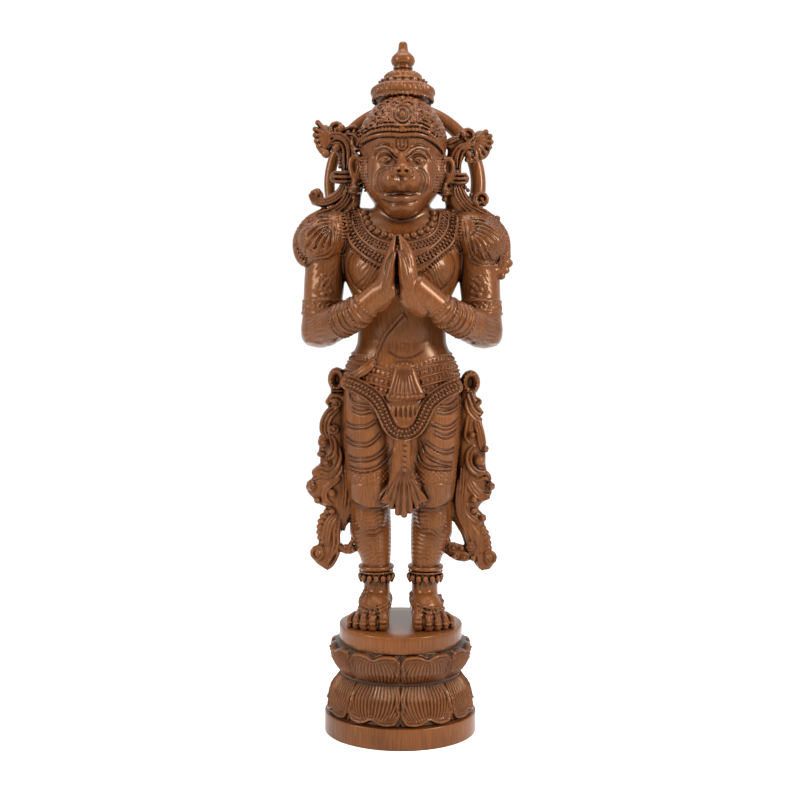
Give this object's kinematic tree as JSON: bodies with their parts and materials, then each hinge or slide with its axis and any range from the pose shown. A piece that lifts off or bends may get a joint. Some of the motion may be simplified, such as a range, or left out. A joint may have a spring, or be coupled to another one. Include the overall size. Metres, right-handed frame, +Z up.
{
  "type": "hanuman figure",
  "caption": "Carved wooden standing monkey figure with joined palms, crown and a tail arched behind the head, on an oval double lotus plinth.",
  "frame": {"origin": "middle of the plinth's underside", "axes": "+Z up, the figure faces -Y, its left hand at +X"},
  "size_m": [0.2849, 0.2024, 0.9125],
  "materials": {
    "carved_wood": "oiled and polished, satin, dark in the recesses"
  },
  "bodies": {
    "root": {"hanuman_figure": "carved_wood"}
  },
  "joints": []
}
